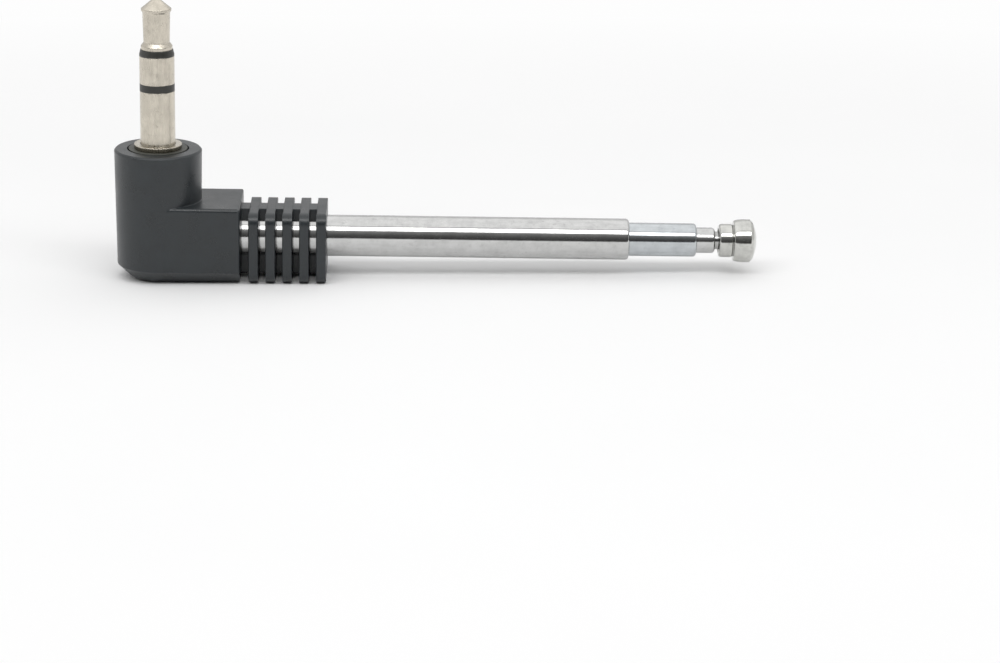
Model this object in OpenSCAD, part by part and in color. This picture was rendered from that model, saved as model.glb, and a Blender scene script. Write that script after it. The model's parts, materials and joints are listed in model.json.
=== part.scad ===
// Plug-in radio antenna: a right-angle plug with a four-section telescopic rod.
// The origin is the centre of the plug's shoulder, on the upper face of its flange.
// +Z runs along the plug to its tip, and +X along the rod, which is drawn pushed home.

/* [Plug barrel] */
// Diameter of the plug's barrel
plug_d = 3.5; // [3.4:0.05:3.6]
// Length of the sleeve contact above the flange
sleeve_len = 5.45; // [4.5:0.05:6.5]
// Length of the insulating band between the sleeve and the ring
lower_band_len = 0.75; // [0.4:0.05:1.2]
// Length of the ring contact
ring_len = 2.8; // [2:0.05:3.5]
// Length of the insulating band between the ring and the tip
upper_band_len = 0.65; // [0.4:0.05:1.2]
// Length of the tip contact, from the upper band to its rounded end
tip_len = 5.15; // [4.6:0.05:6]
// Depth of the upper band's taper below the barrel, where it meets the tip
band_taper = 0.12; // [0.05:0.01:0.2]
// Length of the upper band's straight lip before its taper
band_lip_len = 0.15; // [0.1:0.05:0.3]
// Depth of the flare at the tip's foot below the barrel
tip_flare_depth = 0.17; // [0.1:0.01:0.25]
// Length of that flare
tip_flare_len = 0.35; // [0.2:0.05:0.6]
// Length of the slope from the flare to the neck
tip_slope_len = 0.35; // [0.2:0.05:0.6]
// Depth of the tip's slim neck below the barrel, which the socket's spring drops into
tip_neck_depth = 0.44; // [0.3:0.02:0.6]
// Swell of the neck from its foot to the shoulder
tip_neck_swell = 0.07; // [0:0.01:0.12]
// Depth of the tip's shoulder below the barrel
tip_shoulder_depth = 0.24; // [0.15:0.01:0.3]
// Height of the shoulder's band and of the step under it
tip_shoulder_h = 0.2; // [0.1:0.05:0.3]
// Length of the cone from the shoulder to the tip's end
tip_cone_len = 1.05; // [0.8:0.05:1.4]
// Radius of the tip's rounded end
tip_nose_r = 0.7; // [0.4:0.05:0.9]

/* [Plug inside] */
// Diameter of the tip's pin, which runs down through the whole plug
pin_d = 0.9; // [0.6:0.05:1.1]
// Wall of the insulating tube round the pin
pin_insulation = 0.3; // [0.2:0.05:0.35]
// Wall of the ring contact's tube
ring_tube_wall = 0.25; // [0.2:0.05:0.3]
// Wall of the insulating tube inside the sleeve
sleeve_insulation = 0.3; // [0.2:0.05:0.3]
// Diameter of the flange at the sleeve's foot
flange_d = 4.8; // [4.2:0.1:5.4]
// Thickness of the flange
flange_t = 0.45; // [0.3:0.05:0.7]
// Wall of the sleeve's rear spigot, which the sleeve tag sits on
spigot_wall = 0.25; // [0.2:0.05:0.4]
// Step from the spigot out to the shank above it
shank_step = 0.4; // [0.2:0.05:0.4]
// Length of the sleeve's shank under the flange
shank_len = 1.6; // [1.2:0.1:2]
// Thickness of the three solder tags
tag_t = 0.3; // [0.2:0.05:0.4]
// Width of each tag's flat ring, from its hole to its edge
tag_ring_w = 0.95; // [0.6:0.05:1]
// Width of each tag's tongue
tongue_w = 1.3; // [1:0.1:1.5]
// Reach of the two bent tongues from the plug's axis
leg_reach = 2.6; // [2.4:0.05:2.8]
// Length of the bent leg at the end of those tongues
leg_len = 1.6; // [1.2:0.1:2]
// Thickness of the two insulating washers between the tags
washer_t = 0.4; // [0.3:0.05:0.5]
// Width of the washers, from their hole to their edge
washer_w = 0.8; // [0.6:0.05:0.9]
// Width of the rivet head that closes the pin's lower end, beyond the pin
rivet_lip = 0.35; // [0.2:0.05:0.45]
// Thickness of the rivet head
rivet_t = 0.25; // [0.2:0.05:0.4]

/* [Lead] */
// Diameter of the lead's bare wire
wire_d = 0.5; // [0.4:0.02:0.56]
// Wall of the lead's insulation
wire_insulation = 0.25; // [0.15:0.05:0.25]
// Clearance between the insulation and the washers
lead_gap = 0.1; // [0.05:0.05:0.2]
// Clearance of the wire in the holes of the tag and the tail, on the radius
wire_hole_gap = 0.02; // [0.01:0.01:0.04]
// Length of bare wire that stands out past the tag and past the tail
wire_end = 0.3; // [0.2:0.05:0.4]
// Length of bare wire between the insulation and each joint
lead_strip = 0.25; // [0.1:0.05:0.4]
// Height of the solder cones
solder_h = 0.35; // [0.25:0.05:0.4]
// Width of the solder cones round the wire, at their foot
solder_w = 0.35; // [0.25:0.05:0.4]
// Width of the solder cones round the wire, at their top
solder_top_w = 0.08; // [0.05:0.01:0.15]

/* [Housing] */
// Wall of the housing round the upright part of the inner mould
post_wall = 0.85; // [0.7:0.05:1.2]
// Draft of the upright post, by which its foot is slimmer on the radius
post_draft = 0.15; // [0:0.05:0.3]
// Height of the post from its foot to its rim
post_h = 13.05; // [12.8:0.05:14]
// Depth of the rim's face below the upper face of the flange
rim_drop = 0.5; // [0.45:0.05:0.8]
// Bevel of the post's upper rim
rim_bevel = 0.18; // [0.1:0.02:0.3]
// Bevel round the foot of the housing
foot_bevel = 1.2; // [0.4:0.05:1.2]
// Width of the side arm across the rod
arm_w = 8.4; // [8.2:0.05:8.45]
// Height of the side arm
arm_h = 7.85; // [7.6:0.05:8.4]
// Reach of the side arm's end face from the plug's axis
arm_reach = 8.35; // [8.2:0.05:9]
// Rounding of the side arm's long upper edges
arm_round = 0.35; // [0.2:0.05:0.6]
// Rounding of the edges of the side arm's end face
arm_end_round = 0.3; // [0.1:0.05:0.5]
// Height of the rod's axis above the middle of the side arm
rod_lift = 0.225; // [0:0.025:0.4]

/* [Inner mould] */
// Width of the disc of inner mould that shows round the flange
disc_w = 0.55; // [0.4:0.05:0.7]
// Width of the groove between that disc and the post's rim
groove_w = 0.16; // [0.1:0.02:0.3]
// Depth of that groove
groove_depth = 0.4; // [0.2:0.05:0.6]
// Inner mould left above the end of the lead's wire
wire_cover = 0.25; // [0.2:0.05:0.4]
// Inner mould left round the end of the sleeve tag
tag_cover = 0.2; // [0.1:0.05:0.4]
// Wall of the housing under the inner mould
floor_wall = 1.45; // [1.25:0.05:1.5]
// Wall of the housing round the inner mould's arm
arm_wall = 0.8; // [0.6:0.05:1]
// Wall of the housing at the side arm's end, where the rod comes out
end_wall = 0.9; // [0.7:0.1:1.2]

/* [Strain relief] */
// Number of ribs in the slotted strain relief
rib_count = 5; // [3:1:5]
// Thickness of each rib along the rod
rib_t = 1; // [0.8:0.05:1.1]
// Distance from one rib to the next
rib_pitch = 1.7; // [1.5:0.05:1.8]
// Gap between the side arm and the first rib
rib_first_gap = 0.85; // [0.5:0.05:1]
// Width of the ribs across the rod
rib_w = 8; // [7.6:0.1:8.2]
// Depth of the ribs' upper edge below the top of the side arm
rib_top_drop = 0.6; // [0.3:0.05:0.8]
// Height of the ribs' lower edge above the foot of the housing
rib_foot_lift = 0.04; // [0:0.01:0.3]
// Rounding of the ribs' four corners
rib_corner_r = 1.1; // [0.6:0.1:1.5]
// Rounding of the ribs' thin edges
rib_edge_r = 0.16; // [0.08:0.02:0.3]
// Thickness of the central web that joins the ribs
web_w = 2.3; // [1.8:0.1:2.6]
// Height of the web's lower edge above the foot of the housing
web_foot_lift = 0.45; // [0.3:0.05:0.7]
// Depth of the web's upper edge below the ribs' upper edge
web_top_drop = 0.08; // [0.05:0.01:0.3]

/* [Telescopic rod] */
// Outer diameter of the fixed tube
tube_1_d = 4.2; // [4.1:0.02:4.24]
// Wall of the three tubes
tube_wall = 0.2; // [0.18:0.01:0.22]
// Space between one section and the next, which holds the beads and the spring
nest_gap = 0.2; // [0.16:0.01:0.22]
// Free length of the fixed tube behind the second section's foot
foot_room = 5.75; // [4:0.05:8]
// Length of the second section that shows when it is pushed home
show_2 = 6.9; // [2:0.1:8]
// Length of the third section that shows when it is pushed home
show_3 = 1.9; // [1:0.1:3]
// Gap between the third section's mouth and the knob when pushed home
knob_gap = 0.4; // [0.2:0.05:1]
// Travel of the second section in the fixed tube
travel_2 = 24.6; // [20:0.1:24.8]
// Travel of the third section in the second
travel_3 = 28.8; // [24:0.1:29]
// Travel of the fourth section in the third
travel_4 = 23.8; // [20:0.1:25]
// Running clearance of every sliding fit, on the radius
slide_gap = 0.03; // [0.02:0.005:0.05]
// Length of each rolled mouth, over which the wall turns in
mouth_len = 0.9; // [0.7:0.05:1.1]
// Rounding of each mouth's outer edge
mouth_round = 0.3; // [0.2:0.02:0.34]
// Clearance left between a section's bead and the mouth at full travel
end_gap = 0.05; // [0.02:0.01:0.2]

/* [Friction springs] */
// Length of the seat for the friction spring at each section's foot
seat_len = 2.6; // [2:0.1:3]
// Length of the flare and of the bead at the two ends of that seat
bead_len = 0.9; // [0.7:0.05:1]
// Thickness of the spring's sheet
spring_t = 0.08; // [0.06:0.01:0.1]
// Share of the free space that the spring's bow takes up
spring_bow = 0.6; // [0.3:0.1:0.9]
// Clearance between the spring and the beads beside it
spring_end_gap = 0.1; // [0.05:0.01:0.2]
// Angle of each half of the spring
spring_angle = 160; // [130:2:170]

/* [Foot plug] */
// Length of the brass plug inside the fixed tube's foot
foot_plug_len = 6.8; // [5:0.1:8]
// Thickness of the plug's shoulder, which the fixed tube butts on
foot_shoulder_t = 0.6; // [0.4:0.1:1]
// Diameter of the solder tail before its sides are milled flat
tail_d = 2; // [1.8:0.1:2.2]
// Thickness of the flat solder tail
tail_t = 1; // [0.8:0.1:1.2]
// Length of the tail from the lead's wire to the shoulder
tail_len = 1.9; // [1.6:0.1:2.2]
// Length of the tail past the lead's wire
tail_end = 0.8; // [0.6:0.05:1]
// Chamfer at the plug's inner end, which leads it into the tube
lead_in = 0.3; // [0.2:0.05:0.5]

/* [Knob] */
// Diameter of the knob's collar
collar_d = 3.4; // [3.2:0.05:3.6]
// Length of the collar
collar_len = 1.3; // [1:0.05:1.6]
// Diameter of the knob's head
head_d = 4.4; // [4:0.05:4.8]
// Length of the knob from the collar's back to the domed end
knob_len = 3.9; // [3.6:0.05:4.6]
// Width and depth of the groove between the collar and the head
knob_groove = 0.1; // [0.05:0.01:0.2]
// Depth of the rounding at the head's back
head_round = 0.25; // [0.1:0.05:0.4]
// Length of that rounding along the rod
head_round_len = 1; // [0.6:0.1:1.2]
// Bevel at the head's end
head_bevel = 0.3; // [0.2:0.05:0.4]
// Height of the dome inside that bevel
dome_h = 0.42; // [0.2:0.02:0.5]
// Rounding of the collar's back
collar_round = 0.3; // [0.2:0.05:0.4]
// Width of the flat rim between that rounding and the recess
collar_rim = 0.15; // [0.1:0.05:0.25]
// Depth of the rod's hole in the knob
knob_bore_depth = 2.4; // [1.8:0.1:2.6]
// Depth of the round recess in the collar's back
knob_recess = 0.25; // [0.1:0.05:0.4]

/* [Hidden] */
$fn = 64;
over = 1; // how far a cutting shape runs past the face that it cuts

// Heights along the plug
ring_z = sleeve_len + lower_band_len;
upper_band_z = ring_z + ring_len;
tip_z = upper_band_z + upper_band_len;
tip_end_z = tip_z + tip_len;

// Radii inside the plug, each wall laid on the one inside it
plug_r = plug_d / 2;
pin_r = pin_d / 2;
rivet_r = pin_r + rivet_lip;
pin_tube_r = pin_r + pin_insulation;
ring_tube_r = pin_tube_r + ring_tube_wall;
sleeve_tube_r = ring_tube_r + sleeve_insulation;
spigot_r = sleeve_tube_r + spigot_wall;
shank_r = spigot_r + shank_step;

// Faces of the stack of tags and washers under the shank, from the top down
shank_z = -flange_t - shank_len;
sleeve_tag_z = shank_z - tag_t;
upper_washer_z = sleeve_tag_z - washer_t;
ring_tag_z = upper_washer_z - tag_t;
lower_washer_z = ring_tag_z - washer_t;
tip_tag_z = lower_washer_z - tag_t;
rivet_z = tip_tag_z - rivet_t;

// Main heights of the housing, and the rod's axis in the side arm
rim_z = -rim_drop;
foot_z = rim_z - post_h;
arm_z = foot_z + arm_h;
rod_z = foot_z + arm_h / 2 + rod_lift;

// The lead, which clears the washers
wire_r = wire_d / 2;
wire_reach = sleeve_tube_r + washer_w + lead_gap + wire_insulation + wire_r;
wire_top_z = shank_z + wire_end;
wire_foot_z = rod_z - tail_t / 2 - wire_end;
lead_top_z = sleeve_tag_z - lead_strip;
lead_foot_z = rod_z + tail_t / 2 + solder_h + lead_strip;

// The inner mould, which covers the lead and the tags, and the post round it
disc_r = flange_d / 2 + disc_w;
disc_foot_z = wire_top_z + wire_cover;
mould_r = wire_reach + tongue_w / 2 + tag_cover;
mould_foot_z = foot_z + floor_wall;
mould_arm_r = min(arm_h / 2 - abs(rod_lift), arm_w / 2) - arm_wall;
post_r = mould_r + post_wall;
post_foot_r = post_r - post_draft;

// The strain relief
rib_z0 = foot_z + rib_foot_lift;
rib_z1 = arm_z - rib_top_drop;
rib_x0 = arm_reach + rib_first_gap;
rib_end_x = rib_x0 + (rib_count - 1) * rib_pitch + rib_t;

// Radii of the telescopic sections, each nested in the one before it
tube_1_r = tube_1_d / 2;
tube_2_r = tube_1_r - tube_wall - nest_gap;
tube_3_r = tube_2_r - tube_wall - nest_gap;
rod_4_r = tube_3_r - tube_wall - nest_gap;

// Reaches along the rod: the foot plug, and each section's foot and mouth
foot_reach = wire_reach + tail_len;
tube_foot_x = foot_reach + foot_shoulder_t;
foot_plug_end_x = tube_foot_x + foot_plug_len;
foot_len = bead_len + seat_len + bead_len;
slide_end = foot_len + end_gap + mouth_len;
foot_2_x = foot_plug_end_x + foot_room;
mouth_1_x = foot_2_x + travel_2 + slide_end;
mouth_2_x = mouth_1_x + show_2;
mouth_3_x = mouth_2_x + show_3;
foot_3_x = mouth_2_x - travel_3 - slide_end;
foot_4_x = mouth_3_x - travel_4 - slide_end;
knob_x = mouth_3_x + knob_gap;
knob_bore_x = knob_x + knob_bore_depth;

// Points of a round or oval arc, [radius, height] pairs for a turned outline
function arc(cx, cy, rx, ry, a0, a1, steps = 5) =
    [for (i = [0:steps]) let (a = a0 + (a1 - a0) * i / steps) [cx + rx * cos(a), cy + ry * sin(a)]];

// A turned piece on the plug's axis, from [radius, height] points
module turned(points) rotate_extrude() polygon(points);

// A turned piece on the rod's axis, from [radius, reach] points
module turned_on_rod(points)
    translate([0, 0, rod_z]) rotate([0, 90, 0]) rotate_extrude() polygon(points);

// A tube on the plug's axis between two heights
module sleeve(r0, r1, z0, z1)
    turned([[r0, z0], [r1, z0], [r1, z1], [r0, z1]]);

// A rectangle about the origin with round corners
module round_rect(w, h, r) {
    square([w - 2 * r, h], center = true);
    square([w, h - 2 * r], center = true);
    for (x = [-1, 1], y = [-1, 1]) translate([x * (w / 2 - r), y * (h / 2 - r)]) circle(r);
}

// Plug contacts, from the tip down

module jack_tip() {
    flare_r = plug_r - tip_flare_depth;
    neck_r = plug_r - tip_neck_depth;
    shoulder_r = plug_r - tip_shoulder_depth;
    neck_z = tip_z + tip_flare_len + tip_slope_len;
    shoulder_z = tip_end_z - tip_cone_len;
    nose_from = 50; // degrees up the rounded end at which the cone runs into it
    color("lightgray") turned(concat(
        [[0, rivet_z], [rivet_r, rivet_z], [rivet_r, tip_tag_z], [pin_r, tip_tag_z],
         [pin_r, tip_z], [flare_r, tip_z], [flare_r, tip_z + tip_flare_len], [neck_r, neck_z],
         [neck_r + tip_neck_swell, shoulder_z - 2 * tip_shoulder_h],
         [shoulder_r, shoulder_z - tip_shoulder_h], [shoulder_r, shoulder_z]],
        arc(0, tip_end_z - tip_nose_r, tip_nose_r, tip_nose_r, nose_from, 90)));
}

module tip_insulator()
    color("dimgray") turned([
        [pin_r, lower_washer_z], [pin_tube_r, lower_washer_z], [pin_tube_r, upper_band_z],
        [plug_r, upper_band_z], [plug_r, upper_band_z + band_lip_len],
        [plug_r - band_taper, tip_z], [pin_r, tip_z]]);

module jack_ring()
    color("lightgray") turned([
        [pin_tube_r, ring_tag_z], [ring_tube_r, ring_tag_z], [ring_tube_r, ring_z],
        [plug_r, ring_z], [plug_r, upper_band_z], [pin_tube_r, upper_band_z]]);

module sleeve_insulator()
    color("dimgray") turned([
        [ring_tube_r, upper_washer_z], [sleeve_tube_r, upper_washer_z],
        [sleeve_tube_r, sleeve_len], [plug_r, sleeve_len], [plug_r, ring_z],
        [ring_tube_r, ring_z]]);

module jack_sleeve()
    color("lightgray") turned([
        [sleeve_tube_r, sleeve_tag_z], [spigot_r, sleeve_tag_z], [spigot_r, shank_z],
        [shank_r, shank_z], [shank_r, -flange_t], [flange_d / 2, -flange_t],
        [flange_d / 2, 0], [plug_r, 0], [plug_r, sleeve_len],
        [sleeve_tube_r, sleeve_len]]);

// Solder tags and washers under the plug's shank

// A flat tag: a ring with a straight tongue along +X, lying on z = 0
module tag_blank(hole_r, ring_r, tongue_len)
    linear_extrude(tag_t) difference() {
        union() {
            circle(ring_r);
            translate([0, -tongue_w / 2]) square([tongue_len, tongue_w]);
        }
        circle(hole_r);
    }

// A tag whose tongue is bent down at its end
module bent_tag(hole_r) {
    tag_blank(hole_r, hole_r + tag_ring_w, leg_reach);
    translate([leg_reach - tag_t, -tongue_w / 2, -leg_len])
        cube([tag_t, tongue_w, leg_len + tag_t]);
}

module sleeve_tag()
    color("goldenrod") translate([0, 0, sleeve_tag_z]) difference() {
        union() {
            tag_blank(spigot_r, spigot_r + tag_ring_w, wire_reach);
            translate([wire_reach, 0, 0]) cylinder(h = tag_t, r = tongue_w / 2);
        }
        translate([wire_reach, 0, -over]) cylinder(h = tag_t + 2 * over, r = wire_r + wire_hole_gap);
    }

module upper_washer()
    color("saddlebrown") sleeve(sleeve_tube_r, sleeve_tube_r + washer_w, upper_washer_z, sleeve_tag_z);

module ring_tag()
    color("goldenrod") translate([0, 0, ring_tag_z]) rotate([0, 0, 90]) bent_tag(ring_tube_r);

module lower_washer()
    color("saddlebrown") sleeve(pin_tube_r, pin_tube_r + washer_w, lower_washer_z, ring_tag_z);

module tip_tag()
    color("goldenrod") translate([0, 0, tip_tag_z]) rotate([0, 0, 180]) bent_tag(pin_r);

// The lead from the sleeve tag to the foot plug's tail

module lead_wire()
    color("peru") translate([wire_reach, 0, wire_foot_z])
        cylinder(h = wire_top_z - wire_foot_z, r = wire_r);

module lead_insulation()
    color("red") translate([wire_reach, 0, 0])
        sleeve(wire_r, wire_r + wire_insulation, lead_foot_z, lead_top_z);

// A cone of solder round the wire, standing on a face at z0
module solder_cone(z0)
    translate([wire_reach, 0, 0])
        turned([[wire_r, z0], [wire_r + solder_w, z0],
                [wire_r + solder_top_w, z0 + solder_h], [wire_r, z0 + solder_h]]);

module tag_solder() color("silver") solder_cone(shank_z);

module tail_solder() color("silver") solder_cone(rod_z + tail_t / 2);

// The outer form of the inner mould, which is also the hollow in the housing
module mould_form() {
    turned([[0, mould_foot_z], [mould_r, mould_foot_z], [mould_r, disc_foot_z],
            [disc_r, disc_foot_z], [disc_r, -flange_t], [0, -flange_t]]);
    turned_on_rod([[0, 0], [mould_arm_r, 0], [mould_arm_r, arm_reach - end_wall],
                   [0, arm_reach - end_wall]]);
}

// Everything that the inner mould is cast round
module cast_in() {
    sleeve(0, shank_r, shank_z, over);
    sleeve(0, spigot_r, sleeve_tag_z, shank_z);
    sleeve(0, sleeve_tube_r, upper_washer_z, sleeve_tag_z);
    sleeve(0, ring_tube_r, ring_tag_z, upper_washer_z);
    sleeve(0, pin_tube_r, lower_washer_z, ring_tag_z);
    sleeve(0, pin_r, tip_tag_z, lower_washer_z);
    sleeve(0, rivet_r, rivet_z, tip_tag_z);
    sleeve_tag();
    upper_washer();
    ring_tag();
    lower_washer();
    tip_tag();
    translate([wire_reach, 0, wire_foot_z]) cylinder(h = wire_top_z - wire_foot_z, r = wire_r);
    lead_insulation();
    tag_solder();
    tail_solder();
    foot_plug();
    turned_on_rod([[0, tube_foot_x], [tube_1_r, tube_foot_x], [tube_1_r, arm_reach + over],
                   [0, arm_reach + over]]);
}

module inner_mould()
    color("darkslategray") difference() {
        mould_form();
        cast_in();
    }

// Housing: the post, the side arm and the slotted strain relief, moulded in one

module post()
    turned([[0, foot_z], [post_foot_r - foot_bevel, foot_z], [post_foot_r, foot_z + foot_bevel],
            [post_r, rim_z - rim_bevel], [post_r - rim_bevel, rim_z], [0, rim_z]]);

// The side arm's cross-section, [y, z] points from the foot up and round
module arm_section() {
    w = arm_w / 2;
    r = arm_round;
    polygon([[foot_bevel - w, foot_z], [w - foot_bevel, foot_z], [w, foot_z + foot_bevel],
             [w, arm_z - r], [w - r, arm_z], [r - w, arm_z], [-w, arm_z - r],
             [-w, foot_z + foot_bevel]]);
    for (s = [-1, 1]) translate([s * (w - r), arm_z - r]) circle(r);
}

// The side arm: its cross-section, trimmed by its plan and its side view, which round the
// edges of its end face
module arm() {
    r = arm_end_round;
    intersection() {
        rotate([90, 0, 90]) linear_extrude(arm_reach) arm_section();
        translate([arm_reach / 2 - r, 0, foot_z - over]) linear_extrude(arm_h + 2 * over)
            round_rect(arm_reach + 2 * r, arm_w, r);
        translate([arm_reach / 2 - r, arm_w, (foot_z + arm_z) / 2]) rotate([90, 0, 0])
            linear_extrude(2 * arm_w) round_rect(arm_reach + 2 * r, arm_h, r);
    }
}

// One rib: a thin plate with round corners and soft edges, starting at x0
module rib(x0) {
    h = rib_z1 - rib_z0;
    translate([x0 + rib_t / 2, 0, (rib_z0 + rib_z1) / 2]) intersection() {
        rotate([90, 0, 90]) linear_extrude(rib_t, center = true) round_rect(rib_w, h, rib_corner_r);
        linear_extrude(h, center = true) round_rect(rib_t, rib_w, rib_edge_r);
        rotate([90, 0, 0]) linear_extrude(rib_w, center = true) round_rect(rib_t, h, rib_edge_r);
    }
}

// The central web, from inside the side arm to inside the last rib
module web() {
    z0 = foot_z + web_foot_lift;
    z1 = rib_z1 - web_top_drop;
    translate([arm_reach - end_wall / 2, -web_w / 2, z0])
        cube([rib_end_x - rib_t / 2 - arm_reach + end_wall / 2, web_w, z1 - z0]);
}

module housing()
    color([0.24, 0.26, 0.27]) difference() {
        union() {
            post();
            arm();
            web();
            for (i = [0:rib_count - 1]) rib(rib_x0 + i * rib_pitch);
        }
        mould_form();
        sleeve(0, disc_r + groove_w, rim_z - groove_depth, rim_z + over);
        turned_on_rod([[0, arm_reach - end_wall - over], [tube_1_r, arm_reach - end_wall - over],
                       [tube_1_r, rib_end_x + over], [0, rib_end_x + over]]);
    }

// Fixed tube and its foot plug

module foot_plug() {
    r = tube_1_r - tube_wall;
    tail_x = wire_reach - tail_end;
    color("gold") {
        turned_on_rod([[0, foot_reach], [tube_1_r, foot_reach], [tube_1_r, tube_foot_x],
                       [r, tube_foot_x], [r, foot_plug_end_x - lead_in],
                       [r - lead_in, foot_plug_end_x], [0, foot_plug_end_x]]);
        difference() {
            intersection() {
                turned_on_rod([[0, tail_x], [tail_d / 2, tail_x], [tail_d / 2, tube_foot_x],
                               [0, tube_foot_x]]);
                translate([tail_x - over, -tail_d, rod_z - tail_t / 2])
                    cube([foot_reach + 2 * over, 2 * tail_d, tail_t]);
            }
            translate([wire_reach, 0, rod_z - tail_t])
                cylinder(h = 2 * tail_t, r = wire_r + wire_hole_gap);
        }
    }
}

// Outline of a rolled mouth, from the bore round the lip to the outside, for a tube of
// radius r whose lip leaves the running clearance round a section of radius inner_r
function mouth(r, inner_r, x) = let (lip_r = inner_r + slide_gap) concat(
    [[r - tube_wall, x - mouth_len], [lip_r, x - mouth_len / 2], [lip_r, x]],
    arc(r - mouth_round, x - mouth_round, mouth_round, mouth_round, 90, 0));

// Outline of a section's foot from its bead back to its flare, along the outside
function foot_outside(r, stop_r, x) = let (ramp = bead_len / 3) [
    [r, x + foot_len], [stop_r, x + foot_len - ramp], [stop_r, x + foot_len - 2 * ramp],
    [r, x + foot_len - bead_len], [r, x + bead_len], [stop_r, x + bead_len - ramp], [stop_r, x]];

module tube_1()
    color("silver") turned_on_rod(concat(
        [[tube_1_r, tube_foot_x], [tube_1_r - tube_wall, tube_foot_x]],
        mouth(tube_1_r, tube_2_r, mouth_1_x)));

// A sliding tube of radius r: its foot's beads reach out by the space that it is nested in,
// and its mouth guides a section of radius inner_r
module sliding_tube(r, inner_r, x0, mouth_x) {
    outside = foot_outside(r, r + nest_gap - slide_gap, x0);
    inside = [for (i = [len(outside) - 1:-1:0]) [outside[i][0] - tube_wall, outside[i][1]]];
    turned_on_rod(concat(outside, inside, mouth(r, inner_r, mouth_x)));
}

// A friction spring: two half sleeves bowed off a section of radius r, in its seat
module friction_spring(r, x0) {
    bow_r = r + (nest_gap - slide_gap - spring_t) * spring_bow;
    s0 = x0 + bead_len + spring_end_gap;
    s1 = x0 + bead_len + seat_len - spring_end_gap;
    third = (s1 - s0) / 3;
    outline = [[r, s0], [bow_r, s0 + third], [bow_r, s1 - third], [r, s1],
               [r + spring_t, s1], [bow_r + spring_t, s1 - third],
               [bow_r + spring_t, s0 + third], [r + spring_t, s0]];
    translate([0, 0, rod_z]) rotate([0, 90, 0])
        for (a = [0, 180]) rotate([0, 0, a - spring_angle / 2])
            rotate_extrude(angle = spring_angle) polygon(outline);
}

module tube_2() color("lightsteelblue") sliding_tube(tube_2_r, tube_3_r, foot_2_x, mouth_2_x);

module spring_2() color("darkorange") friction_spring(tube_2_r, foot_2_x);

module tube_3() color("silver") sliding_tube(tube_3_r, rod_4_r, foot_3_x, mouth_3_x);

module spring_3() color("darkorange") friction_spring(tube_3_r, foot_3_x);

module rod_4()
    color("gainsboro") turned_on_rod(concat(
        [[0, knob_bore_x], [rod_4_r, knob_bore_x]],
        foot_outside(rod_4_r, rod_4_r + nest_gap - slide_gap, foot_4_x),
        [[0, foot_4_x]]));

module spring_4() color("darkorange") friction_spring(rod_4_r, foot_4_x);

// Knob: a collar, a groove and a bevelled head with a low dome

module knob() {
    collar_r = collar_d / 2;
    head_r = head_d / 2;
    recess_r = collar_r - collar_round - collar_rim;
    groove_r = collar_r - knob_groove;
    groove_x = knob_x + collar_len;
    head_x = groove_x + 2 * knob_groove;
    end_x = knob_x + knob_len;
    dome_r = head_r - head_bevel;
    ball_r = (dome_r * dome_r + dome_h * dome_h) / (2 * dome_h);
    color("silver") turned_on_rod(concat(
        [[0, knob_bore_x], [rod_4_r, knob_bore_x], [rod_4_r, knob_x + knob_recess],
         [recess_r, knob_x + knob_recess], [recess_r, knob_x]],
        arc(collar_r - collar_round, knob_x + collar_round, collar_round, collar_round, -90, 0),
        [[collar_r, groove_x], [groove_r, groove_x + knob_groove], [groove_r, head_x]],
        arc(head_r - head_round, head_x + head_round_len, head_round, head_round_len, -90, 0),
        [[head_r, end_x - dome_h - head_bevel]],
        arc(0, end_x - ball_r, ball_r, ball_r, acos(dome_r / ball_r), 90)));
}

jack_tip();
tip_insulator();
jack_ring();
sleeve_insulator();
jack_sleeve();
sleeve_tag();
upper_washer();
ring_tag();
lower_washer();
tip_tag();
lead_wire();
lead_insulation();
tag_solder();
tail_solder();
inner_mould();
housing();
foot_plug();
tube_1();
tube_2();
spring_2();
tube_3();
spring_3();
rod_4();
spring_4();
knob();
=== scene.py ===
import json
import math

import bmesh
import bpy
from mathutils import Matrix, Vector


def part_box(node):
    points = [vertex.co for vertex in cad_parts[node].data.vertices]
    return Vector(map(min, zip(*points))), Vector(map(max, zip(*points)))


# Looks for the plug-in radio antenna. All lengths are in metres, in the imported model's frame:
# +Z along the plug to its tip, +X along the rod, and the origin on the flange's upper face.

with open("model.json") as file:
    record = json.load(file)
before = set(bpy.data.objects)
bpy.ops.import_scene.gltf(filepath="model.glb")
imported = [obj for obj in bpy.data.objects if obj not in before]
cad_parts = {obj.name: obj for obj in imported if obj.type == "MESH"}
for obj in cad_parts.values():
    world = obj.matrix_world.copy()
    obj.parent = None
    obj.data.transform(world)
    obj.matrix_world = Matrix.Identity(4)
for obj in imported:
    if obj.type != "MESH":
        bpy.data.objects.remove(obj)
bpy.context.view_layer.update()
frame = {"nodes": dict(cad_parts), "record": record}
nodes = frame["nodes"]
scene = bpy.context.scene
MM = 0.001


def srgb(*values):
    """Linear colour from 0-255 display values."""
    out = []
    for v in values:
        c = v / 255
        out.append(c / 12.92 if c <= 0.04045 else ((c + 0.055) / 1.055) ** 2.4)
    return (*out, 1.0)


# Camera: it looks past the object, which sits in the frame's upper left part


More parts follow.
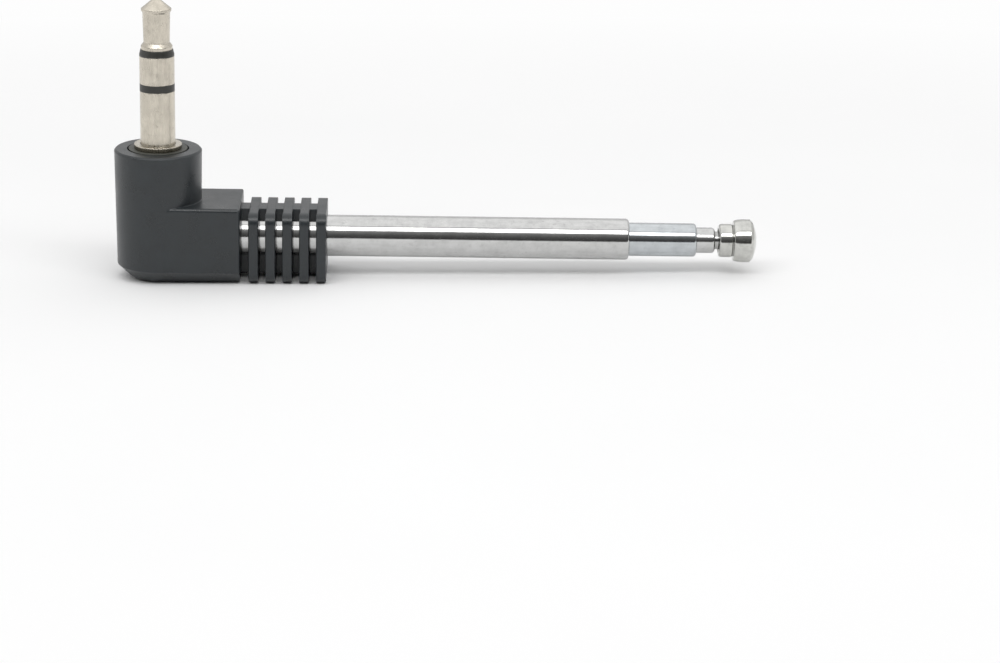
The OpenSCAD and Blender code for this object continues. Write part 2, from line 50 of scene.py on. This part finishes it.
def make_camera():
    look = Vector((20, 0, -8)) * MM
    distance = 299.775 * MM
    azimuth, elevation = math.radians(-0.943), math.radians(15.641)
    pan, tilt, roll = math.radians(2.942), math.radians(2.078), math.radians(1.3)
    place = look - distance * Vector((
        math.sin(azimuth) * math.cos(elevation),
        math.cos(azimuth) * math.cos(elevation),
        -math.sin(elevation),
    ))
    azimuth, elevation = azimuth + pan, elevation + tilt
    forward = Vector((
        math.sin(azimuth) * math.cos(elevation),
        math.cos(azimuth) * math.cos(elevation),
        -math.sin(elevation),
    ))
    level = Vector((math.cos(azimuth), -math.sin(azimuth), 0))
    over = level.cross(forward)
    right = level * math.cos(roll) + over * math.sin(roll)
    up = over * math.cos(roll) - level * math.sin(roll)
    data = bpy.data.cameras.new("camera")
    data.sensor_fit = "HORIZONTAL"
    data.sensor_width = 36
    data.lens = 106.024
    data.clip_start = 0.01
    data.clip_end = 20
    camera = bpy.data.objects.new("camera", data)
    scene.collection.objects.link(camera)
    turn = Matrix((right, up, -forward)).transposed()
    camera.matrix_world = Matrix.Translation(place) @ turn.to_4x4()
    scene.camera = camera


make_camera()
scene.view_settings.view_transform = "Standard"


# Node helpers


class Nodes:
    """A short way to build a material's node tree."""

    def __init__(self, tree):
        self.tree = tree
        tree.nodes.clear()

    def add(self, kind, **settings):
        node = self.tree.nodes.new(kind)
        for key, value in settings.items():
            setattr(node, key, value)
        return node

    def put(self, socket, value):
        if isinstance(value, bpy.types.NodeSocket):
            self.tree.links.new(value, socket)
        else:
            socket.default_value = value

    def coords(self, scale=(1, 1, 1), offset=(0, 0, 0)):
        mapping = self.add("ShaderNodeMapping")
        self.put(mapping.inputs["Vector"], self.add("ShaderNodeTexCoord").outputs["Object"])
        mapping.inputs["Scale"].default_value = scale
        mapping.inputs["Location"].default_value = offset
        return mapping.outputs["Vector"]

    def plug_radius(self):
        """Distance from the plug's axis."""
        length = self.add("ShaderNodeVectorMath", operation="LENGTH")
        self.put(length.inputs[0], self.coords((1, 1, 0)))
        return length.outputs["Value"]

    def height(self):
        """Height above the upper face of the plug's flange."""
        split = self.add("ShaderNodeSeparateXYZ")
        self.put(split.inputs[0], self.coords())
        return split.outputs["Z"]

    def noise(self, size, detail=3.0, stretch=(1, 1, 1), offset=(0, 0, 0), roughness=0.5):
        """Noise whose features are about size across, in metres."""
        tex = self.add("ShaderNodeTexNoise")
        self.put(tex.inputs["Vector"], self.coords(stretch, offset))
        tex.inputs["Scale"].default_value = 1 / size
        tex.inputs["Detail"].default_value = detail
        tex.inputs["Roughness"].default_value = roughness
        return tex.outputs["Fac"]

    def ramp(self, factor, stops):
        node = self.add("ShaderNodeValToRGB")
        self.put(node.inputs["Fac"], factor)
        elements = node.color_ramp.elements
        elements[0].position, elements[0].color = stops[0]
        elements[1].position, elements[1].color = stops[-1]
        for position, color in stops[1:-1]:
            elements.new(position).color = color
        return node.outputs["Color"]

    def span(self, value, low, high, from_low=0.35, from_high=0.65):
        node = self.add("ShaderNodeMapRange")
        self.put(node.inputs["Value"], value)
        node.inputs["From Min"].default_value = from_low
        node.inputs["From Max"].default_value = from_high
        node.inputs["To Min"].default_value = low
        node.inputs["To Max"].default_value = high
        return node.outputs["Result"]

    def math(self, operation, a, b):
        node = self.add("ShaderNodeMath", operation=operation)
        self.put(node.inputs[0], a)
        self.put(node.inputs[1], b)
        return node.outputs[0]

    def mix(self, factor, a, b):
        node = self.add("ShaderNodeMix", data_type="RGBA")
        self.put(node.inputs["Factor"], factor)
        self.put(node.inputs[6], a)
        self.put(node.inputs[7], b)
        return node.outputs[2]

    def bump(self, height, depth, normal=None):
        """A bump whose height of 0 to 1 stands for depth metres."""
        node = self.add("ShaderNodeBump")
        node.inputs["Distance"].default_value = depth
        self.put(node.inputs["Height"], height)
        if normal is not None:
            self.put(node.inputs["Normal"], normal)
        return node.outputs["Normal"]

    def bevel(self, radius):
        node = self.add("ShaderNodeBevel", samples=8)
        node.inputs["Radius"].default_value = radius
        return node.outputs["Normal"]

    def corner_shade(self, reach):
        """0 deep in a corner or gap and 1 on open faces, used to paint shade into a colour."""
        node = self.add("ShaderNodeAmbientOcclusion", samples=12)
        node.inputs["Distance"].default_value = reach
        return node.outputs["AO"]

    def edge(self, radius, low, high):
        """1 near a sharp edge and 0 on open faces."""
        turn = self.add("ShaderNodeVectorMath", operation="DOT_PRODUCT")
        self.put(turn.inputs[0], self.bevel(radius))
        self.put(turn.inputs[1], self.add("ShaderNodeNewGeometry").outputs["Normal"])
        return self.span(turn.outputs["Value"], 1.0, 0.0, low, high)

    def seen(self):
        """1 for rays from the camera and for reflected and refracted ones, 0 for light."""
        path = self.add("ShaderNodeLightPath")
        seen = self.math("MAXIMUM", path.outputs["Is Camera Ray"], path.outputs["Is Glossy Ray"])
        return self.math("MAXIMUM", seen, path.outputs["Is Transmission Ray"])

    def blend(self, factor, first, second):
        node = self.add("ShaderNodeMixShader")
        self.put(node.inputs[0], factor)
        self.put(node.inputs[1], first)
        self.put(node.inputs[2], second)
        return node.outputs[0]

    def shader(self, **inputs):
        shader = self.add("ShaderNodeBsdfPrincipled")
        for key, value in inputs.items():
            self.put(shader.inputs[key.replace("_", " ")], value)
        return shader.outputs[0]

    def surface(self, **inputs):
        self.finish(self.shader(**inputs))

    def finish(self, shader, output="ShaderNodeOutputMaterial"):
        self.put(self.add(output).inputs["Surface"], shader)


def new_material(name):
    material = bpy.data.materials.new(name)
    material.use_nodes = True
    return material, Nodes(material.node_tree)


def tint(color, factor):
    return (*[min(1.0, c * factor) for c in color[:3]], 1.0)


# Materials


def moulded_plastic(name, color, roughness, grain, grain_depth):
    """Moulded plastic with a fine spark-eroded grain, faint flow clouds, and edges painted
    lighter, partly as rubbed wear and partly as a painted highlight.
    """
    material, n = new_material(name)
    clouds = n.noise(2.2 * MM, 4, offset=(3, 1, 2))
    speck = n.noise(grain, 2)
    tone = n.math("ADD", n.math("MULTIPLY", clouds, 0.6), n.math("MULTIPLY", speck, 0.4))
    base = n.ramp(tone, [(0.38, tint(color, 0.8)), (0.62, tint(color, 1.22))])
    # Sharp edges are painted lighter: partly rubbed wear, partly a painted highlight where edges
    # catch the light.
    wear_and_highlight = n.edge(0.16 * MM, 0.86, 0.995)
    base = n.mix(n.math("MULTIPLY", wear_and_highlight, 0.5), base, tint(color, 2.1))
    rough = n.math("ADD", n.span(clouds, roughness - 0.04, roughness + 0.05),
                   n.span(speck, -0.04, 0.04))
    normal = n.bump(speck, grain_depth, n.bevel(0.12 * MM))
    n.surface(Base_Color=base, Roughness=rough, Normal=normal, Specular_IOR_Level=0.58)
    return material


def bright_metal(name, color, roughness, mottle, stain, along, edge=0.12, reach=0.25, plug=False):
    """Plated metal: drawing lines and faint streaks along one axis, clouds, dulled spots and
    painted shade that darkens corners and gaps. On the plug the flange is turned smooth; its
    side is painted dark olive as a painted reflection of the dark disc below it, and the
    barrel's foot is darker olive in mottled patches."""
    material, n = new_material(name)
    stretch = [1, 1, 1]
    stretch["XYZ".index(along)] = 0.03
    lines = n.noise(0.09 * MM, 3, stretch=stretch)
    stretch["XYZ".index(along)] = 0.15
    streaks = n.noise(0.5 * MM, 3, stretch=stretch, offset=(9, 4, 3))
    clouds = n.noise(1.1 * MM, 4, offset=(5, 2, 7), roughness=0.6)
    spots = n.noise(0.5 * MM, 5, offset=(1, 8, 4), roughness=0.65)
    tone = n.math("ADD", n.math("MULTIPLY", clouds, 0.6), n.math("MULTIPLY", streaks, 0.4))
    base = n.ramp(tone, [(0.36, tint(color, 1 - mottle)), (0.64, tint(color, 1 + mottle))])
    base = n.mix(n.span(spots, 0.0, stain, 0.56, 0.72), base, tint(color, 0.6))
    # Painted shade: the colour darkens deep in corners and gaps, where shade falls. On the rod the
    # long reach paints its neck before the knob dark.
    depth = 0.35 if plug else 0.7
    base = n.mix(n.span(n.corner_shade(reach * MM), depth, 0.0, 0.25, 0.8), base, tint(color, 0.3))
    rough = n.math("ADD", n.span(lines, roughness, roughness + 0.05),
                   n.span(spots, 0.0, 0.12, 0.58, 0.8))
    if plug:
        barrel = n.span(n.plug_radius(), 1.0, 0.0, 1.8 * MM, 1.85 * MM)
        flange = n.math("SUBTRACT", 1.0, barrel)
        # Painted reflection: the flange's side is painted dark olive, as its mirror face reflects
        # the dark disc below. The barrel's foot is painted darker olive in mottled patches.
        side = n.math("MULTIPLY", flange, n.span(n.height(), 0.8, 0.0, -0.12 * MM, -0.04 * MM))
        foot = n.math("MULTIPLY", barrel, n.span(n.height(), 1.0, 0.0, 0.04 * MM, 0.3 * MM))
        foot = n.math("MULTIPLY", foot, n.span(clouds, 0.25, 0.8, 0.4, 0.6))
        base = n.mix(n.math("MAXIMUM", side, foot), base, DARK_OLIVE)
        lines = n.math("MULTIPLY", lines, barrel)
        clouds = n.math("MULTIPLY", clouds, barrel)
    normal = n.bump(lines, 0.0004 * MM, n.bump(clouds, 0.004 * MM, n.bevel(edge * MM)))
    n.surface(Base_Color=base, Metallic=1.0, Roughness=rough, Normal=normal)
    return material


def plain_metal(name, color, roughness, line):
    """Hidden metal parts: stamped, drawn or cast, with fine lines and a stain here and there."""
    material, n = new_material(name)
    lines = n.noise(line, 3, stretch=(1, 0.1, 1))
    stain = n.noise(0.9 * MM, 4, offset=(2, 6, 1))
    base = n.ramp(stain, [(0.35, tint(color, 0.8)), (0.65, color)])
    rough = n.span(lines, roughness - 0.06, roughness + 0.08)
    n.surface(Base_Color=base, Metallic=1.0, Roughness=rough, Normal=n.bump(lines, 0.002 * MM))
    return material


def fibre(name, color):
    """Pressed fibre board: short brown fibres."""
    material, n = new_material(name)
    threads = n.noise(0.06 * MM, 4, stretch=(1, 0.25, 1))
    base = n.ramp(threads, [(0.3, tint(color, 0.7)), (0.7, tint(color, 1.25))])
    n.surface(Base_Color=base, Roughness=0.85, Normal=n.bump(threads, 0.01 * MM))
    return material


NICKEL = (0.60, 0.555, 0.475, 1)
CHROME = (0.555, 0.555, 0.55, 1)
BLUE_CHROME = (0.515, 0.54, 0.555, 1)
# Dark olive for the plug: the painted reflection on the flange's side, and the darker foot of the
# barrel.
DARK_OLIVE = (0.12, 0.105, 0.07, 1)
materials = {
    "contact_metal": bright_metal("contact_metal", NICKEL, 0.24, 0.13, 0.35, "Z", 0.14, plug=True),
    "contact_insulation": moulded_plastic(
        "contact_insulation", srgb(44, 44, 40), 0.42, 0.05 * MM, 0.002 * MM),
    "tag_brass": plain_metal("tag_brass", (0.78, 0.60, 0.30, 1), 0.34, 0.05 * MM),
    "washer_fibre": fibre("washer_fibre", srgb(120, 84, 58)),
    "bare_wire": plain_metal("bare_wire", (0.80, 0.45, 0.28, 1), 0.3, 0.03 * MM),
    "lead_sleeve": moulded_plastic(
        "lead_sleeve", srgb(150, 26, 20), 0.4, 0.05 * MM, 0.003 * MM),
    "solder": plain_metal("solder", (0.62, 0.62, 0.62, 1), 0.38, 0.12 * MM),
    "inner_plastic": moulded_plastic(
        "inner_plastic", srgb(62, 63, 58), 0.5, 0.07 * MM, 0.006 * MM),
    "housing_plastic": moulded_plastic(
        "housing_plastic", srgb(34, 39, 42), 0.33, 0.1 * MM, 0.006 * MM),
    "tube_1_chrome": bright_metal("tube_1_chrome", CHROME, 0.07, 0.1, 0.35, "X", 0.2),
    "tube_2_chrome": bright_metal("tube_2_chrome", BLUE_CHROME, 0.07, 0.1, 0.3, "X", 0.2),
    "tube_3_chrome": bright_metal("tube_3_chrome", CHROME, 0.08, 0.1, 0.35, "X", 0.2),
    "rod_steel": bright_metal("rod_steel", (0.53, 0.53, 0.52, 1), 0.1, 0.08, 0.3, "X", reach=2.0),
    "knob_chrome": bright_metal("knob_chrome", (0.56, 0.56, 0.535, 1), 0.08, 0.12, 0.45, "Y"),
    "spring_bronze": plain_metal("spring_bronze", (0.72, 0.45, 0.25, 1), 0.3, 0.04 * MM),
}

slot_of = {row["node"]: row["material_slot"] for row in frame["record"]["subparts"]}
for name, node in nodes.items():
    node.data.materials.clear()
    node.data.materials.append(materials[slot_of[name]])


# Studio: a pale table, an even white surround, a long soft light, a soft box overhead and dark
# flags, as a photographer sets round bright metal. Only reflections show the cards.


def add_object(name, mesh):
    obj = bpy.data.objects.new(name, mesh)
    scene.collection.objects.link(obj)
    return obj


def make_floor():
    """The table. It touches the last rib's foot and leans as the drawn-out rod would set it.
    It takes the object's shadow near by and is a plain white ground farther off."""
    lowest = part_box("housing")[0].z
    last_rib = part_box("housing")[1].x
    lean = math.radians(0.9)
    bm = bmesh.new()
    bmesh.ops.create_circle(bm, cap_ends=True, segments=128, radius=3)
    mesh = bpy.data.meshes.new("floor")
    bm.to_mesh(mesh)
    bm.free()
    floor = add_object("floor", mesh)
    pivot = Vector((last_rib, 0, lowest))
    floor.matrix_world = Matrix.Translation(pivot) @ Matrix.Rotation(-lean, 4, "Y")
    material, n = new_material("floor")
    cloud = n.noise(60 * MM, 3)
    base = n.ramp(cloud, [(0.3, (0.955, 0.955, 0.955, 1)), (0.7, (0.975, 0.975, 0.975, 1))])
    near = n.shader(Base_Color=base, Roughness=0.9, Specular_IOR_Level=0.1)
    ground = n.add("ShaderNodeEmission")
    ground.inputs["Strength"].default_value = 0.985
    away = n.add("ShaderNodeVectorMath", operation="LENGTH")
    n.put(away.inputs[0], n.coords((0.5, 1, 1)))
    away = n.span(away.outputs["Value"], 0.0, 1.0, 60 * MM, 130 * MM)
    n.finish(n.blend(n.math("MULTIPLY", away, n.seen()), near, ground.outputs[0]))
    floor.data.materials.append(material)


def make_world():
    """An even surround, dimmer as a light than it looks."""
    world = bpy.data.worlds.new("surround")
    scene.world = world
    world.use_nodes = True
    n = Nodes(world.node_tree)
    light = n.add("ShaderNodeBackground")
    light.inputs["Strength"].default_value = 0.62
    shown = n.add("ShaderNodeBackground")
    shown.inputs["Strength"].default_value = 1.0
    n.finish(n.blend(n.seen(), light.outputs[0], shown.outputs[0]), "ShaderNodeOutputWorld")


def make_lamp(name, place, size, power):
    data = bpy.data.lights.new(name, "AREA")
    data.shape = "RECTANGLE"
    data.size, data.size_y = size
    data.energy = power
    lamp = bpy.data.objects.new(name, data)
    scene.collection.objects.link(lamp)
    aim = Vector((25, 0, -9)) * MM
    turn = (aim - place).to_track_quat("-Z", "Y").to_matrix()
    lamp.matrix_world = Matrix.Translation(place) @ turn.to_4x4()
    return lamp


def hidden_card(obj):
    obj.visible_camera = False
    obj.visible_shadow = False
    obj.visible_transmission = False


def make_flag(name, radius, sweep, heights):
    """A curved grey card round the object: sweep is its range of angles, heights its rows of
    (elevation in degrees, brightness)."""
    bm = bmesh.new()
    shade = bm.loops.layers.float_color.new("shade")
    steps = 48
    rows = []
    for elevation, bright in heights:
        z = radius * math.tan(math.radians(elevation)) - 9.4 * MM
        rows.append([bm.verts.new((radius * math.sin(a), -radius * math.cos(a), z))
                     for a in (math.radians(sweep[0] + (sweep[1] - sweep[0]) * i / steps)
                               for i in range(steps + 1))])
    for j in range(len(rows) - 1):
        for i in range(steps):
            face = bm.faces.new((rows[j][i], rows[j][i + 1], rows[j + 1][i + 1], rows[j + 1][i]))
            for loop, row in zip(face.loops, (j, j, j + 1, j + 1)):
                b = heights[row][1]
                loop[shade] = (b, b, b, 1)
    mesh = bpy.data.meshes.new(name)
    bm.to_mesh(mesh)
    bm.free()
    flag = add_object(name, mesh)
    material, n = new_material(name)
    attribute = n.add("ShaderNodeAttribute", attribute_name="shade")
    glow = n.add("ShaderNodeEmission")
    n.put(glow.inputs["Color"], attribute.outputs["Color"])
    n.finish(glow.outputs[0])
    flag.data.materials.append(material)
    hidden_card(flag)


def make_ceiling(height, across, depth, seen, bright):
    """A large soft box overhead: across and depth are its ranges of x and y in metres, seen is
    how bright reflections show it and bright how bright it shines."""
    bm = bmesh.new()
    left, right = across
    front, back = depth
    corners = ((left, front), (left, back), (right, back), (right, front))
    bm.faces.new([bm.verts.new((x, y, height)) for x, y in corners])
    mesh = bpy.data.meshes.new("ceiling")
    bm.to_mesh(mesh)
    bm.free()
    ceiling = add_object("ceiling", mesh)
    material, n = new_material("ceiling")
    glow = n.add("ShaderNodeEmission")
    glossy = n.add("ShaderNodeLightPath").outputs["Is Glossy Ray"]
    n.put(glow.inputs["Strength"], n.span(glossy, bright, seen, 0.0, 1.0))
    n.finish(glow.outputs[0])
    ceiling.data.materials.append(material)
    hidden_card(ceiling)


make_floor()
make_world()
make_lamp("long_light", Vector((30, -450, 615)) * MM, (1.6, 0.26), 4.65)
make_ceiling(0.75, (-0.7, 0.7), (-0.25, 1.1), 1.2, 0.9)
make_flag("rear_flag", 0.9, (120, 240), [(-0.2, 0.25), (5, 0.4), (9, 0.9)])
make_flag("front_flag", 0.8, (-62, 78),
          [(-0.2, 0.05), (8, 0.07), (20, 0.12), (34, 0.24), (44, 0.45)])
